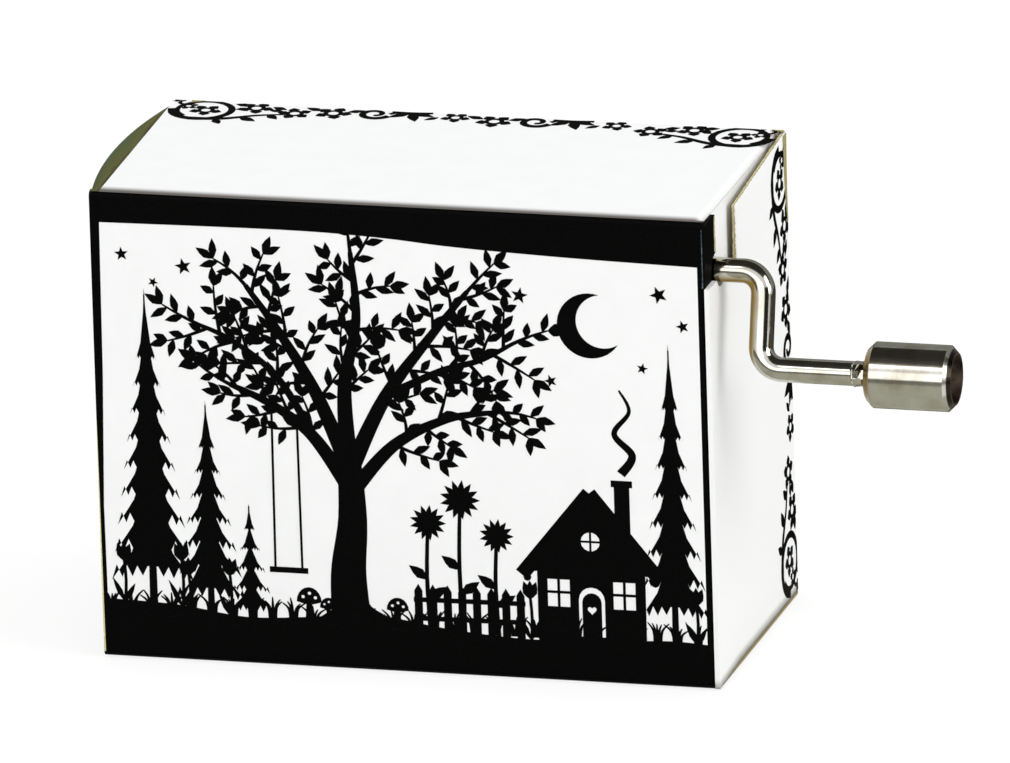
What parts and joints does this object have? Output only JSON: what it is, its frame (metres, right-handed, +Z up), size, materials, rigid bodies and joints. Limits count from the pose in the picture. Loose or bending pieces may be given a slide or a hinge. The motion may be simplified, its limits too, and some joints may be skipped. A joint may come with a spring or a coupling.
{
  "type": "hand-cranked music box",
  "caption": "Small printed carton holding a comb and pinned drum movement, played by a bent wire crank with a free-turning knob on its right end.",
  "frame": {"origin": "centre of the carton's bottom face", "axes": "+X from the closed left end to the crank, +Y from the front face to the back face, +Z up"},
  "size_m": [0.0905, 0.0331, 0.049],
  "materials": {
    "printed_board": "white clay-coated folding boxboard, satin, printed in black",
    "black_printed_board": "folding boxboard printed solid black, satin",
    "olive_board": "bare olive-grey boxboard, matte",
    "grey_board": "raw greyboard, matte",
    "cast_zinc": "die-cast zinc, tumbled, which cast_iron stands for in density",
    "bright_nickel": "bright nickel plate on steel",
    "plain_steel": "zinc-flashed steel",
    "blue_steel": "ground and hardened spring steel",
    "lead": "dull lead, for which cast_iron stands",
    "nylon": "natural nylon",
    "brass": "drawn brass, lightly tarnished"
  },
  "bodies": {
    "carton": {"carton_sleeve": "printed_board", "left_rolled_edge": "olive_board", "left_dust_flaps": "printed_board", "glue_strip": "printed_board", "right_top_flap": "printed_board", "right_bottom_flap": "printed_board", "right_front_flap": "black_printed_board", "right_end_panel": "printed_board", "mounting_board": "grey_board", "mounting_screws": "plain_steel", "bedplate": "cast_zinc", "front_drum_bush": "brass", "rear_drum_bush": "brass", "inner_crank_bush": "brass", "outer_crank_bush": "brass", "comb": "blue_steel", "comb_screws": "plain_steel", "tuning_weights": "lead", "comb_dampers": "nylon"},
    "left_flap": {"left_end_flap": "olive_board"},
    "drum": {"drum_tube": "brass", "drum_front_cap": "brass", "drum_rear_cap": "brass", "drum_arbor": "plain_steel", "worm_wheel": "nylon", "arbor_clip": "plain_steel"},
    "crank": {"crank_wire": "bright_nickel", "crank_worm": "nylon", "thrust_washers": "plain_steel", "crank_clip": "plain_steel", "knob_washer": "plain_steel"},
    "knob": {"crank_knob": "bright_nickel"}
  },
  "joints": [
    {"name": "crank_turn", "type": "hinge", "parent": "carton", "child": "crank", "pos_m": [0.032, -0.0112, 0.0427], "axis": [1, 0, 0], "continuous": true},
    {"name": "knob_turn", "type": "hinge", "parent": "crank", "child": "knob", "pos_m": [0.0522, -0.01371, 0.03333], "axis": [1, 0, 0], "continuous": true},
    {"name": "drum_turn", "type": "hinge", "parent": "carton", "child": "drum", "pos_m": [0.011, 0.0035, 0.0332], "axis": [0, 1, 0], "continuous": true},
    {"name": "left_end_swing", "type": "hinge", "parent": "carton", "child": "left_flap", "pos_m": [-0.0338, 0, 0.048], "axis": [0, 1, 0], "range_deg": [0, 110]}
  ],
  "couplings": [
    {"joint": "drum_turn", "follows": "crank_turn", "ratio": -0.045455}
  ]
}
